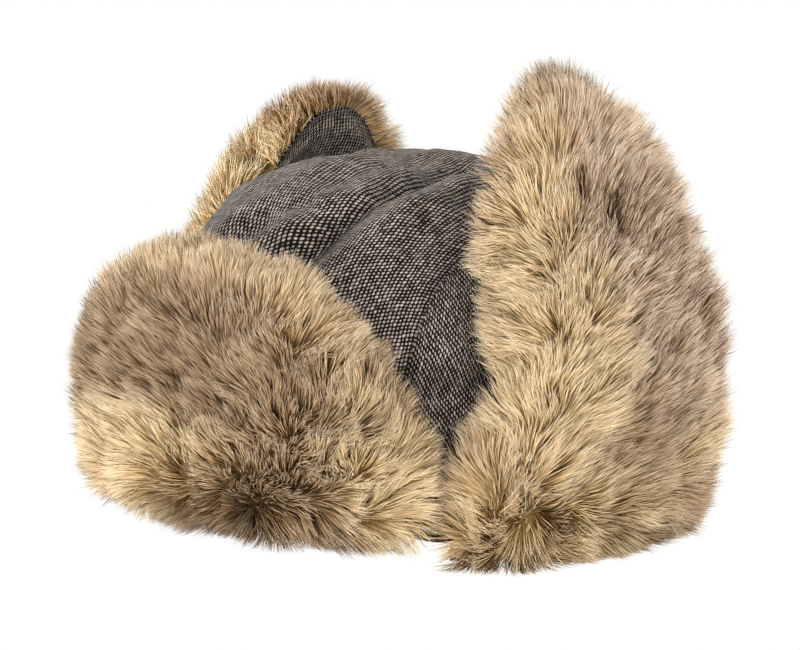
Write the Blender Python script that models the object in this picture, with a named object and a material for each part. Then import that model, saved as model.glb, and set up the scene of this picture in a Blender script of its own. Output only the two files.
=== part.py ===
"""Trapper hat with a tweed crown and four folded-up fur flaps, in metres, +Z up, front towards -Y."""

import bpy
import numpy as np

for old in list(bpy.data.objects):
    bpy.data.objects.remove(old, do_unlink=True)

# Crown: half widths of the outer shell at the rim, its lowest level and its top
CROWN_A = 0.093
CROWN_B = 0.113
CROWN_BASE = 0.009
CROWN_TOP = 0.148
CROWN_POWER = 3.0
FRONT_RIM_LIFT = 0.011  # the rim over the forehead is this much higher
SEAM_X = 0.064  # half width of the centre panel

# Crown layers, measured inwards from the outside of the tweed
TWEED = 0.0014
TAPE_AT, TAPE = 0.0034, 0.0005
WADDING_AT, WADDING = 0.0055, 0.0042
LINING_AT, LINING = 0.0102, 0.0012
BAND_AT, BAND, BAND_TALL = 0.0125, 0.0020, 0.034
SEAM_GAP = 0.0004
BINDING_TALL = 0.0028
BINDING_GAP = 0.0010

# Flaps: gap to the crown, tweed shell, wadding and pile, measured outwards
FLAP_GAP = {"front": 0.0070, "ear": 0.0050, "neck": 0.0060}
SHELL = 0.0014
PAD_AT, PAD = 0.0022, 0.0040
PILE_AT, PILE = 0.0074, 0.0286

# Hinge lines
EAR_HINGE_X = 0.088
FRONT_HINGE_Y = -0.097
NECK_HINGE_Y = 0.099
LOW_HINGE_Z = 0.003
FRONT_HINGE_Z = 0.013

# Flap sizes over the pile, then how much smaller the tweed and wadding are
FRONT_HALF, FRONT_TALL, FRONT_Z = 0.0830, 0.118, 0.010
EAR_TALL = 0.188
# Share of the ear flap's height, then its front and back edges as arc lengths along the rim
EAR_EDGES = ((0.0, -0.070, 0.054), (0.45, -0.053, 0.065), (0.85, -0.053, 0.047), (1.0, -0.042, 0.038))
EAR_LEAN = 0.030
RIGHT_SAG = 0.885  # the right ear flap stands a little lower
RIGHT_BACK = 0.022  # and its top leans this far back
NECK_HALF, NECK_TALL = 0.0480, 0.088
INSET = 0.012

SHIFT_Y = 0.0034  # puts the middle of the whole hat on the origin


def smooth(t):
    t = np.clip(t, 0.0, 1.0)
    return t * t * (3 - 2 * t)


def material(name, colour, roughness, metallic=0.0):
    m = bpy.data.materials.new(name)
    m.use_nodes = True
    shader = m.node_tree.nodes["Principled BSDF"]
    shader.inputs["Base Color"].default_value = (*colour, 1.0)
    shader.inputs["Roughness"].default_value = roughness
    shader.inputs["Metallic"].default_value = metallic
    return m


def add_mesh(name, points, faces, mat, origin=(0.0, 0.0, 0.0)):
    """Makes one object from world points, with its origin at the given place."""
    origin = np.array(origin, float)
    points = np.array(points, float) + np.array([0.0, SHIFT_Y, 0.0])
    at = origin + np.array([0.0, SHIFT_Y, 0.0])
    # points that coincide become one
    key = np.round(points * 1e6).astype(np.int64)
    _, first, back = np.unique(key, axis=0, return_index=True, return_inverse=True)
    back = back.reshape(-1)
    kept = []
    for face in faces:
        ring = [int(back[i]) for i in face]
        clean = [v for n, v in enumerate(ring) if v != ring[n - 1]]
        if len(clean) >= 3 and len(set(clean)) == len(clean):
            kept.append(clean)
    mesh = bpy.data.meshes.new(name)
    mesh.from_pydata([tuple(p) for p in points[first] - at], [], kept)
    mesh.validate()
    mesh.shade_smooth()
    obj = bpy.data.objects.new(name, mesh)
    obj.location = tuple(at)
    bpy.context.scene.collection.objects.link(obj)
    mesh.materials.append(mat)
    import bmesh

    bm = bmesh.new()
    bm.from_mesh(mesh)
    bmesh.ops.recalc_face_normals(bm, faces=bm.faces)
    if bm.calc_volume(signed=True) < 0:
        bmesh.ops.reverse_faces(bm, faces=bm.faces)
    bm.to_mesh(mesh)
    bm.free()
    return obj


def slab(outer, inner):
    """Points and faces of the solid between two grids of points of the same size."""
    rows, columns = outer.shape[:2]
    points = np.concatenate([outer.reshape(-1, 3), inner.reshape(-1, 3)])
    half = rows * columns
    faces = []
    for i in range(rows - 1):
        for j in range(columns - 1):
            a = i * columns + j
            b, c, d = a + 1, a + columns + 1, a + columns
            # each cell becomes the same two triangles on both sides
            faces += [(a, b, c), (a, c, d)]
            faces += [(half + c, half + b, half + a), (half + d, half + c, half + a)]
    ring = [j for j in range(columns)]
    ring += [i * columns + columns - 1 for i in range(1, rows)]
    ring += [(rows - 1) * columns + j for j in range(columns - 2, -1, -1)]
    ring += [i * columns for i in range(rows - 2, 0, -1)]
    for n, a in enumerate(ring):
        b = ring[(n + 1) % len(ring)]
        faces.append((b, a, half + a, half + b))
    return points, faces


def dome_gradient(p):
    """Outward unit normals of the crown at the given points."""
    x, y, z = p[..., 0] / CROWN_A, p[..., 1] / CROWN_B, (p[..., 2] - CROWN_BASE)
    tall = CROWN_TOP - CROWN_BASE
    plan = np.maximum(x * x + y * y, 1e-12)
    q = CROWN_POWER
    g = np.stack(
        [
            plan ** (q / 2 - 1) * x / CROWN_A,
            plan ** (q / 2 - 1) * y / CROWN_B,
            np.sign(z) * np.abs(z / tall) ** (q - 1) / tall,
        ],
        axis=-1,
    )
    return g / np.linalg.norm(g, axis=-1, keepdims=True)


def on_dome(p):
    """Moves points along their line from the crown's middle onto the crown."""
    tall = CROWN_TOP - CROWN_BASE
    d = p - np.array([0.0, 0.0, CROWN_BASE])
    plan = (d[..., 0] / CROWN_A) ** 2 + (d[..., 1] / CROWN_B) ** 2
    size = (plan ** (CROWN_POWER / 2) + np.abs(d[..., 2] / tall) ** CROWN_POWER) ** (
        1 / CROWN_POWER
    )
    return np.array([0.0, 0.0, CROWN_BASE]) + d / size[..., None]


def rim_level(theta):
    return CROWN_BASE + FRONT_RIM_LIFT * smooth((-np.sin(theta) - 0.55) / 0.35)


def rim_point(theta):
    """A point of the crown's outside at the rim."""
    z = rim_level(theta) - CROWN_BASE
    tall = CROWN_TOP - CROWN_BASE
    plan = (1 - (z / tall) ** CROWN_POWER) ** (1 / CROWN_POWER)
    return np.stack(
        [
            CROWN_A * plan * np.cos(theta),
            CROWN_B * plan * np.sin(theta),
            rim_level(theta),
        ],
        axis=-1,
    )


def layered(surface, at, thick):
    """The solid between two depths below the crown's outside."""
    normal = dome_gradient(surface)
    return slab(surface - normal * at, surface - normal * (at + thick))


CORNER = np.arccos(SEAM_X / CROWN_A)


def seam_line(s, x):
    """Points of the seam, where the crown crosses the plane at x, from front to back."""
    front = rim_point(np.array([-np.arccos(x / CROWN_A)]))[0]
    back = rim_point(np.array([np.arccos(x / CROWN_A)]))[0]
    a0 = np.arctan2(front[2] - CROWN_BASE, front[1])
    a1 = np.arctan2(back[2] - CROWN_BASE, back[1])
    angle = a0 + (a1 - a0) * s
    tall = CROWN_TOP - CROWN_BASE
    points = []
    for turn in angle:
        low, high = 0.0, 0.2
        for _ in range(50):
            r = (low + high) / 2
            y, z = r * np.cos(turn), r * np.sin(turn)
            plan = (x / CROWN_A) ** 2 + (y / CROWN_B) ** 2
            if plan ** (CROWN_POWER / 2) + abs(z / tall) ** CROWN_POWER < 1:
                low = r
            else:
                high = r
        points.append((x, y, z + CROWN_BASE))
    return np.array(points)


def centre_panel(rows=21, columns=13):
    s = np.linspace(0, 1, rows)
    s = 0.5 - 0.5 * np.cos(np.pi * s) * (0.75 + 0.25 * np.abs(np.cos(np.pi * s)))
    s = np.clip(s, 0, 1)
    edge = SEAM_X - SEAM_GAP
    turn = np.pi / 2 - np.arccos(edge / CROWN_A)
    right, left = seam_line(s, edge) * np.array([-1, 1, 1]), seam_line(s, edge)
    r = np.linspace(-1, 1, columns)
    front, back = rim_point(-np.pi / 2 + r * turn), rim_point(np.pi / 2 - r * turn)
    w = ((r + 1) / 2)[None, :, None]
    t = s[:, None, None]
    side = right[:, None] * (1 - w) + left[:, None] * w
    ends = front[None] * (1 - t) + back[None] * t
    corner = (
        (1 - t) * (1 - w) * front[0]
        + (1 - t) * w * front[-1]
        + t * (1 - w) * back[0]
        + t * w * back[-1]
    )
    return on_dome(side + ends - corner)


def side_panel(sign, rows=19, columns=9):
    s = np.linspace(0, 1, rows)
    edge = SEAM_X + SEAM_GAP
    turn = np.arccos(edge / CROWN_A)
    top = seam_line(0.5 - 0.5 * np.cos(np.pi * s), edge)
    low = rim_point(-turn + 2 * turn * (0.5 - 0.5 * np.cos(np.pi * s)))
    w = np.linspace(0, 1, columns)[None, :, None]
    grid = on_dome(low[:, None] * (1 - w) + top[:, None] * w)
    return grid * np.array([sign, 1, 1])


def full_dome(name, mat, at, thick, around=40, up=11):
    """A closed shell of the crown's shape, open at the bottom."""
    theta = np.linspace(0, 2 * np.pi, around, endpoint=False)
    rim = rim_point(theta)
    w = np.sin(np.linspace(0, np.pi / 2, up))[None, :-1, None]
    top = np.array([0.0, 0.0, CROWN_TOP])
    v = np.linspace(0, np.pi / 2, up)[None, :-1, None]
    plan = rim * np.array([1, 1, 0])
    grid = plan[:, None] * np.cos(v) + np.array([0, 0, 1.0]) * (
        rim[:, None, 2:3] + (CROWN_TOP - rim[:, None, 2:3]) * np.sin(v)
    )
    lift = np.maximum(grid, -1)
    grid = on_dome(lift)
    grid[:, 0] = rim
    normal = dome_gradient(grid)
    sheets = [grid - normal * at, grid - normal * (at + thick)]
    poles = [top - [0, 0, at], top - [0, 0, at + thick]]
    rows = up - 1
    points = np.concatenate(
        [sheets[0].reshape(-1, 3), sheets[1].reshape(-1, 3), np.array(poles)]
    )
    half = around * rows
    faces = []
    for i in range(around):
        k = (i + 1) % around
        for j in range(rows - 1):
            a, b, c, d = i * rows + j, k * rows + j, k * rows + j + 1, i * rows + j + 1
            faces += [(a, b, c), (a, c, d)]
            faces += [(half + c, half + b, half + a), (half + d, half + c, half + a)]
        a, b = i * rows + rows - 1, k * rows + rows - 1
        faces += [(a, b, 2 * half), (half + b, half + a, 2 * half + 1)]
        a, b = i * rows, k * rows
        faces.append((b, a, half + a, half + b))
    return add_mesh(name, points, faces, mat)


def ring(name, mat, inner_at, outer_at, low, high, around=40):
    """A band that follows the rim, between two depths and two heights above it."""
    theta = np.linspace(0, 2 * np.pi, around, endpoint=False)
    rim = rim_point(theta)
    section = []
    for at, up in ((outer_at, low), (outer_at, high), (inner_at, high), (inner_at, low)):
        p = rim + np.array([0, 0, up])
        if up > 0.01:
            p[:, :2] = on_dome(p)[:, :2]
        normal = dome_gradient(p) * np.array([1, 1, 0])
        normal /= np.linalg.norm(normal, axis=-1, keepdims=True)
        section.append(p - normal * at)
    points = np.stack(section, axis=1).reshape(-1, 3)
    faces = []
    for i in range(around):
        k = (i + 1) % around
        for j in range(4):
            m = (j + 1) % 4
            faces.append((4 * i + j, 4 * k + j, 4 * k + m, 4 * i + m))
    return add_mesh(name, points, faces, mat)


# A table of arc length along the rim's ellipse, from the left side towards the back
TURNS = np.linspace(-np.pi, np.pi, 4001)
SPEED = np.sqrt((CROWN_A * np.sin(TURNS)) ** 2 + (CROWN_B * np.cos(TURNS)) ** 2)
ARC = np.concatenate([[0], np.cumsum((SPEED[1:] + SPEED[:-1]) / 2 * np.diff(TURNS))])
ARC = ARC - np.interp(0.0, TURNS, ARC)


def plan_at(start, arc, out):
    """A plan point at an arc length from a start angle along the rim, moved outwards."""
    theta = np.interp(np.interp(start, TURNS, ARC) + arc, ARC, TURNS)
    x, y = CROWN_A * np.cos(theta), CROWN_B * np.sin(theta)
    n = np.stack([CROWN_B * np.cos(theta), CROWN_A * np.sin(theta)], axis=-1)
    n /= np.linalg.norm(n, axis=-1, keepdims=True)
    return np.stack([x, y], axis=-1) + n * out[..., None]


def ear_edges(v):
    """Front and back edges of the ear flap at a share of its height."""
    first, last = np.zeros_like(v), np.zeros_like(v)
    for low, high in zip(EAR_EDGES, EAR_EDGES[1:]):
        t = smooth((v - low[0]) / (high[0] - low[0]))
        inside = (v >= low[0]) & (v <= high[0])
        first = np.where(inside, low[1] + (high[1] - low[1]) * t, first)
        last = np.where(inside, low[2] + (high[2] - low[2]) * t, last)
    return first, last


def flap_point(kind, u, v, out, inset):
    """A point of a flap: u runs along the rim from -1 to 1, v up from 0 to 1, out is the distance from the crown."""
    if kind == "front":
        half = FRONT_HALF - inset
        tall = FRONT_TALL - inset * 1.1
        base = FRONT_Z + min(inset, 0.0015)
        wide = half * (1 - 0.10 * v**3)
        up = base + v * tall * (1 - 0.46 * np.abs(u) ** 2.6)
        lean = 0.05 * (up - FRONT_Z) - 0.010 * ((up - FRONT_Z) / FRONT_TALL) ** 2
        xy = plan_at(-np.pi / 2, u * wide, out + lean)
    elif kind == "neck":
        half = NECK_HALF - inset
        tall = NECK_TALL - inset * 1.1
        base = min(inset, 0.0015)
        wide = half * (1 - 0.12 * v**3)
        up = base + v * tall * (1 - 0.35 * np.abs(u) ** 2.6)
        lean = 0.04 * up
        xy = plan_at(np.pi / 2, u * wide, out + lean)
    else:
        tall = EAR_TALL - inset * 1.1
        base = min(inset, 0.0015)
        first, last = ear_edges(v)
        middle = (first + last) / 2
        wide = (last - first) / 2 - inset
        if kind == "right":
            middle = middle + RIGHT_BACK * v**1.3
        up = base + v * tall * (1 - 0.20 * np.abs(u) ** 2.4 * (0.35 + 0.65 * v))
        lean = -EAR_LEAN * (up / 0.18) ** 2.1
        xy = plan_at(0.0, middle + u * wide, out + lean)
        if kind == "right":
            up = up * (1 - (1 - RIGHT_SAG) * smooth(v * 1.2))
            xy = xy * np.array([-1, 1])
    return np.concatenate([xy, up[..., None]], axis=-1)


def flap_slab(kind, at, thick, inset, rows, columns, edge=1.0):
    """A flap's layer. With edge under 1 it thins towards its outline like a pillow."""
    u, v = np.meshgrid(np.linspace(-1, 1, columns), np.linspace(0, 1, rows))
    # corners are rounded by drawing the grid's corners in
    u = u * (1 - 0.10 * (np.abs(u) ** 6) * (np.abs(2 * v - 1) ** 6) * (v > 0.5))
    gap = FLAP_GAP["ear" if kind in ("left", "right") else kind]
    if kind == "neck" and edge < 1:
        thick = thick * 0.75
    full = (1 - np.abs(u) ** 3.2) ** 0.5 * (1 - np.abs(2 * v - 1) ** 3.6) ** 0.5
    low = np.where(v < 0.5, 0.45 * np.sqrt(np.maximum(1 - np.abs(u) ** 3.2, 0)), 0.0)
    shape = np.maximum(full, low)
    deep = thick * (edge + (1 - edge) * shape)
    inner = flap_point(kind, u, v, np.full(u.shape, gap + at), inset)
    outer = flap_point(kind, u, v, gap + at + deep, inset)
    return slab(outer, inner)


def disc(name, mat, centre, normal, radius, thick, bump, origin):
    """A snap half: a round plate with a smaller raised middle."""
    normal = np.array(normal, float)
    normal /= np.linalg.norm(normal)
    side = np.cross(normal, [0, 0, 1.0])
    side /= np.linalg.norm(side)
    other = np.cross(side, normal)
    count = 20
    turn = np.linspace(0, 2 * np.pi, count, endpoint=False)
    profile = [(0.0, radius), (thick * 0.6, radius), (thick, radius * 0.86)]
    profile += [(thick, radius * 0.42), (thick + bump, radius * 0.34)]
    points, faces = [], []
    for height, r in profile:
        for t in turn:
            points.append(
                np.array(centre)
                + normal * height
                + side * r * np.cos(t)
                + other * r * np.sin(t)
            )
    for k in range(len(profile) - 1):
        for i in range(count):
            j = (i + 1) % count
            faces.append(
                (k * count + i, k * count + j, (k + 1) * count + j, (k + 1) * count + i)
            )
    faces.append(tuple(range(count - 1, -1, -1)))
    faces.append(tuple((len(profile) - 1) * count + i for i in range(count)))
    return add_mesh(name, points, faces, mat, origin)


tweed = (0.085, 0.072, 0.068)
fur = (0.46, 0.35, 0.20)
satin = (0.055, 0.035, 0.028)
batting = (0.72, 0.70, 0.66)

# The crown's tweed panels and what is under them
add_mesh(
    "crown_centre_panel",
    *layered(centre_panel(), 0.0, TWEED),
    material("crown_centre_tweed", tweed, 0.95),
)
for side, sign in (("left", 1), ("right", -1)):
    add_mesh(
        f"crown_{side}_panel",
        *layered(side_panel(sign), 0.0, TWEED),
        material(f"crown_{side}_tweed", tweed, 0.95),
    )
    s = np.linspace(0.03, 0.97, 26)
    lines = [seam_line(s, SEAM_X + k * 0.0045) for k in (-1, 0, 1)]
    strip = on_dome(np.stack(lines, axis=1)) * np.array([sign, 1, 1])
    add_mesh(
        f"{side}_seam_tape",
        *layered(strip, TAPE_AT, TAPE),
        material(f"{side}_seam_tape_cloth", (0.03, 0.025, 0.022), 0.9),
    )
full_dome(
    "crown_padding", material("crown_wadding", batting, 1.0), WADDING_AT, WADDING
)
full_dome("crown_lining", material("crown_satin", satin, 0.35), LINING_AT, LINING)
ring(
    "sweatband",
    material("sweatband_cloth", (0.04, 0.035, 0.032), 0.8),
    BAND_AT + BAND,
    BAND_AT,
    0.0005,
    BAND_TALL,
)
ring(
    "rim_binding",
    material("rim_binding_cloth", (0.035, 0.028, 0.025), 0.85),
    0.0116,
    0.0,
    -BINDING_GAP - BINDING_TALL,
    -BINDING_GAP,
)

# A blank size tab sewn in at the back, just inside the sweatband
tab_y = CROWN_B - BAND_AT - BAND - 0.0006
tab_u, tab_v = np.meshgrid(np.linspace(-0.011, 0.011, 5), np.linspace(0.016, 0.031, 4))
tab_in = CROWN_B - CROWN_B * np.sqrt(1 - (tab_u / CROWN_A) ** 2)
tab_face = np.stack([tab_u, tab_y - tab_in * 1.15 - 0.0016, tab_v], axis=-1)
add_mesh(
    "size_tab",
    *slab(tab_face, tab_face - np.array([0, 0.0006, 0])),
    material("size_tab_cloth", (0.62, 0.60, 0.56), 0.8),
)

# The flaps
hinges = {
    "front": (0.0, FRONT_HINGE_Y, FRONT_HINGE_Z),
    "left": (EAR_HINGE_X, 0.0, LOW_HINGE_Z),
    "right": (-EAR_HINGE_X, 0.0, LOW_HINGE_Z),
    "neck": (0.0, NECK_HINGE_Y, LOW_HINGE_Z),
}
names = {
    "front": "front_flap",
    "left": "left_ear_flap",
    "right": "right_ear_flap",
    "neck": "neck_flap",
}
for kind, name in names.items():
    points, faces = flap_slab(kind, PILE_AT, PILE, 0.0, 14, 15, edge=0.12)
    add_mesh(
        f"{name}_fur", points, faces, material(f"{name}_pile", fur, 0.9), hinges[kind]
    )
    points, faces = flap_slab(kind, PAD_AT, PAD, INSET, 9, 9)
    add_mesh(
        f"{name}_padding",
        points,
        faces,
        material(f"{name}_wadding", batting, 1.0),
        hinges[kind],
    )
    points, faces = flap_slab(kind, 0.0, SHELL, INSET, 9, 9)
    add_mesh(
        f"{name}_shell",
        points,
        faces,
        material(f"{name}_tweed", tweed, 0.95),
        hinges[kind],
    )

# Snaps: one pair holds the front flap up, one pair closes the ear flaps
steel = (0.55, 0.53, 0.50)
stud_at = on_dome(np.array([[0.0, -0.111, 0.070]]))[0]
stud_out = dome_gradient(stud_at[None])[0]
disc(
    "front_snap_stud",
    material("front_stud_metal", steel, 0.3, 1.0),
    stud_at + stud_out * 0.0006,
    stud_out,
    0.0060,
    0.0008,
    0.0012,
    (0, 0, 0),
)
probe = flap_point(
    "front", np.array([0.0]), np.array([0.55]), np.array([FLAP_GAP["front"]]), INSET
)[0]
higher = flap_point(
    "front", np.array([0.0]), np.array([0.58]), np.array([FLAP_GAP["front"]]), INSET
)[0]
along = (higher - probe) / np.linalg.norm(higher - probe)
inward = np.cross([-1.0, 0, 0], along)
if inward[1] < 0:
    inward = -inward
disc(
    "front_snap_socket",
    material("front_socket_metal", steel, 0.3, 1.0),
    probe + inward * 0.0010,
    inward,
    0.0060,
    0.0008,
    0.0004,
    hinges["front"],
)
for kind, node, bump in (
    ("left", "ear_snap_stud", 0.0012),
    ("right", "ear_snap_socket", 0.0004),
):
    at = [
        flap_point(kind, np.array([du]), np.array([dv]), np.array([FLAP_GAP["ear"]]), INSET)[0]
        for du, dv in ((0.0, 0.82), (0.05, 0.82), (0.0, 0.85))
    ]
    inward = np.cross(at[1] - at[0], at[2] - at[0])
    inward /= np.linalg.norm(inward)
    if inward[0] * (1 if kind == "left" else -1) > 0:
        inward = -inward
    disc(
        node,
        material(f"{node}_metal", steel, 0.3, 1.0),
        at[0] + inward * 0.0012,
        inward,
        0.0060,
        0.0008,
        bump,
        hinges[kind],
    )
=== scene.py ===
"""Trapper hat: tweed crown, fur flaps folded up, on a plain pale floor."""

import math

import bpy
import numpy as np
from mathutils import Matrix, Vector, kdtree


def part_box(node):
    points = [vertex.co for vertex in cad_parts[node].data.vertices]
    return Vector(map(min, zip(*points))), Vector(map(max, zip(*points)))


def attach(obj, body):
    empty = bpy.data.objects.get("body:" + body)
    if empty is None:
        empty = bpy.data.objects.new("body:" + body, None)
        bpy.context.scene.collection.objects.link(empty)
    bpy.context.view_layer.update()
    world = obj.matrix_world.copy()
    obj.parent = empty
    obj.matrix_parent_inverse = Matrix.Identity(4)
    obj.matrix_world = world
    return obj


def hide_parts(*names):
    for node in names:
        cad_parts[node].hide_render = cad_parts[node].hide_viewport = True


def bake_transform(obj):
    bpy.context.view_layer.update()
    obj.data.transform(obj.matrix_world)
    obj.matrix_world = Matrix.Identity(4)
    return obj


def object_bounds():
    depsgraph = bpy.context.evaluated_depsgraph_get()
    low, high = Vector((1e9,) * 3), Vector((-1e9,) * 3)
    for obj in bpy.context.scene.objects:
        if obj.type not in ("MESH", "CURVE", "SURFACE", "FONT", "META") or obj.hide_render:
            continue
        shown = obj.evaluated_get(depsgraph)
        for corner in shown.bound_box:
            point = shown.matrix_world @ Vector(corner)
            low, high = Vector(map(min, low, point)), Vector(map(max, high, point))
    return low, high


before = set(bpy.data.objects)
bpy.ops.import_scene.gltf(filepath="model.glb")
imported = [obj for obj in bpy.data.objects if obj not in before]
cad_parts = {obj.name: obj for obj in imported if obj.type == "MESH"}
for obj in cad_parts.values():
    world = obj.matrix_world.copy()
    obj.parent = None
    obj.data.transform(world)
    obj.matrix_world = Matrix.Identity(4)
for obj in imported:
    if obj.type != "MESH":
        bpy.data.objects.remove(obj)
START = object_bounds()

# ---------------------------------------------------------------- shape of the hat
CROWN_A, CROWN_B, CROWN_BASE, CROWN_TOP, POWER = 0.093, 0.113, 0.009, 0.148, 3.0
FRONT_RIM_LIFT, SEAM_X, SEAM_GAP, TWEED = 0.011, 0.064, 0.0003, 0.0014
GAP = {"front": 0.0070, "left": 0.0050, "right": 0.0050, "neck": 0.0060}
FRONT_HALF, FRONT_TALL, FRONT_Z = 0.0830, 0.118, 0.010
EAR_TALL, EAR_LEAN, RIGHT_SAG, RIGHT_BACK = 0.188, 0.030, 0.885, 0.022
EAR_EDGES = ((0.0, -0.070, 0.054), (0.45, -0.053, 0.065), (0.85, -0.053, 0.047), (1.0, -0.042, 0.038))
NECK_HALF, NECK_TALL = 0.0480, 0.088
SHIFT = np.array([0.0, 0.0034, 0.0])
TALL = CROWN_TOP - CROWN_BASE
MIDDLE = np.array([0.0, 0.0, CROWN_BASE])
BODY = {"front": "front_flap", "left": "left_ear_flap", "right": "right_ear_flap", "neck": "neck_flap"}


def smooth(t):
    t = np.clip(t, 0.0, 1.0)
    return t * t * (3 - 2 * t)


def unit(v):
    return v / np.maximum(np.linalg.norm(v, axis=-1, keepdims=True), 1e-12)


def dome_gradient(p):
    x, y, z = p[..., 0] / CROWN_A, p[..., 1] / CROWN_B, p[..., 2] - CROWN_BASE
    plan = np.maximum(x * x + y * y, 1e-12)
    g = np.stack(
        [
            plan ** (POWER / 2 - 1) * x / CROWN_A,
            plan ** (POWER / 2 - 1) * y / CROWN_B,
            np.sign(z) * np.abs(z / TALL) ** (POWER - 1) / TALL,
        ],
        axis=-1,
    )
    return unit(g)


def on_dome(p):
    d = p - MIDDLE
    plan = (d[..., 0] / CROWN_A) ** 2 + (d[..., 1] / CROWN_B) ** 2
    size = (plan ** (POWER / 2) + np.abs(d[..., 2] / TALL) ** POWER) ** (1 / POWER)
    return MIDDLE + d / size[..., None]


def rim_level(theta):
    return CROWN_BASE + FRONT_RIM_LIFT * smooth((-np.sin(theta) - 0.55) / 0.35)


def rim_point(theta):
    z = rim_level(theta) - CROWN_BASE
    plan = (1 - (z / TALL) ** POWER) ** (1 / POWER)
    return np.stack([CROWN_A * plan * np.cos(theta), CROWN_B * plan * np.sin(theta), rim_level(theta)], axis=-1)


def seam_line(s, x):
    front = rim_point(np.array([-np.arccos(x / CROWN_A)]))[0]
    back = rim_point(np.array([np.arccos(x / CROWN_A)]))[0]
    a0 = np.arctan2(front[2] - CROWN_BASE, front[1])
    a1 = np.arctan2(back[2] - CROWN_BASE, back[1])
    turn = a0 + (a1 - a0) * s
    low, high = np.zeros_like(turn), np.full_like(turn, 0.2)
    plan_x = (x / CROWN_A) ** 2
    for _ in range(50):
        r = (low + high) / 2
        y, z = r * np.cos(turn), r * np.sin(turn)
        inside = (plan_x + (y / CROWN_B) ** 2) ** (POWER / 2) + np.abs(z / TALL) ** POWER < 1
        low, high = np.where(inside, r, low), np.where(inside, high, r)
    return np.stack([np.full_like(turn, x), low * np.cos(turn), low * np.sin(turn) + CROWN_BASE], axis=-1)


TURNS = np.linspace(-np.pi, np.pi, 4001)
SPEED = np.sqrt((CROWN_A * np.sin(TURNS)) ** 2 + (CROWN_B * np.cos(TURNS)) ** 2)
ARC = np.concatenate([[0], np.cumsum((SPEED[1:] + SPEED[:-1]) / 2 * np.diff(TURNS))])
ARC = ARC - np.interp(0.0, TURNS, ARC)


def plan_at(start, arc, out):
    theta = np.interp(np.interp(start, TURNS, ARC) + arc, ARC, TURNS)
    n = unit(np.stack([CROWN_B * np.cos(theta), CROWN_A * np.sin(theta)], axis=-1))
    return np.stack([CROWN_A * np.cos(theta), CROWN_B * np.sin(theta)], axis=-1) + n * out[..., None]


def ear_edges(v):
    first, last = np.zeros_like(v), np.zeros_like(v)
    for low, high in zip(EAR_EDGES, EAR_EDGES[1:]):
        t = smooth((v - low[0]) / (high[0] - low[0]))
        inside = (v >= low[0]) & (v <= high[0])
        first = np.where(inside, low[1] + (high[1] - low[1]) * t, first)
        last = np.where(inside, low[2] + (high[2] - low[2]) * t, last)
    return first, last


def flap_point(kind, u, v, out, inset):
    """A point of a flap: u along the rim from -1 to 1, v up from 0 to 1, out from the crown's wall."""
    if kind == "front":
        half, tall = FRONT_HALF - inset, FRONT_TALL - inset * 1.6
        base = FRONT_Z + inset * 0.5
        wide = half * (1 - 0.10 * v**3)
        up = base + v * tall * (1 - 0.46 * np.abs(u) ** 2.6)
        lean = 0.05 * (up - FRONT_Z) - 0.010 * ((up - FRONT_Z) / FRONT_TALL) ** 2
        xy = plan_at(-np.pi / 2, u * wide, out + lean)
    elif kind == "neck":
        half, tall = NECK_HALF - inset, NECK_TALL - inset * 1.6
        base = inset * 0.5
        wide = half * (1 - 0.12 * v**3)
        up = base + v * tall * (1 - 0.35 * np.abs(u) ** 2.6)
        lean = 0.04 * up
        xy = plan_at(np.pi / 2, u * wide, out + lean)
    else:
        tall = EAR_TALL - inset * 1.6
        base = inset * 0.5
        first, last = ear_edges(v)
        middle, wide = (first + last) / 2, (last - first) / 2 - inset
        if kind == "right":
            middle = middle + RIGHT_BACK * v**1.3
        up = base + v * tall * (1 - 0.20 * np.abs(u) ** 2.4 * (0.35 + 0.65 * v))
        lean = -EAR_LEAN * (up / 0.18) ** 2.1
        xy = plan_at(0.0, middle + u * wide, out + lean)
        if kind == "right":
            up = up * (1 - (1 - RIGHT_SAG) * smooth(v * 1.2))
            xy = xy * np.array([-1, 1])
    return np.concatenate([xy, up[..., None]], axis=-1) + SHIFT


# ---------------------------------------------------------------- smooth random fields
def waves(p, scale, seed, octaves=3):
    """A smooth random field from -1 to 1, about scale metres across."""
    r = np.random.default_rng(seed)
    total, weight = np.zeros(p.shape[:-1]), 0.0
    for o in range(octaves):
        k = 2 * np.pi / (scale / 2**o)
        gain = 0.55**o
        for _ in range(6):
            d = r.normal(size=3)
            d /= np.linalg.norm(d)
            total += gain * np.sin(p @ d * k * r.uniform(0.6, 1.3) + r.uniform(0, 7)) / 2.2
        weight += gain
    return np.clip(total / weight, -1, 1)


# ---------------------------------------------------------------- meshes
def mesh_of(name, co, faces, smooth_shade=True):
    """Makes a mesh object from points and faces that all have the same number of corners, or a list."""
    me = bpy.data.meshes.new(name)
    me.from_pydata([tuple(p) for p in co], [], [tuple(int(i) for i in f) for f in faces])
    me.validate()
    obj = bpy.data.objects.new(name, me)
    bpy.context.scene.collection.objects.link(obj)
    if smooth_shade:
        me.shade_smooth()
    return obj


def grid_faces(rows, columns, start=0, flip=False):
    i, j = np.meshgrid(np.arange(rows - 1), np.arange(columns - 1), indexing="ij")
    a = (i * columns + j).ravel() + start
    f = np.stack([a, a + 1, a + columns + 1, a + columns], axis=1)
    return f[:, ::-1] if flip else f


def ring_of(rows, columns):
    ring = [j for j in range(columns)]
    ring += [i * columns + columns - 1 for i in range(1, rows)]
    ring += [(rows - 1) * columns + j for j in range(columns - 2, -1, -1)]
    ring += [i * columns for i in range(rows - 2, 0, -1)]
    return np.array(ring)


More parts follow.
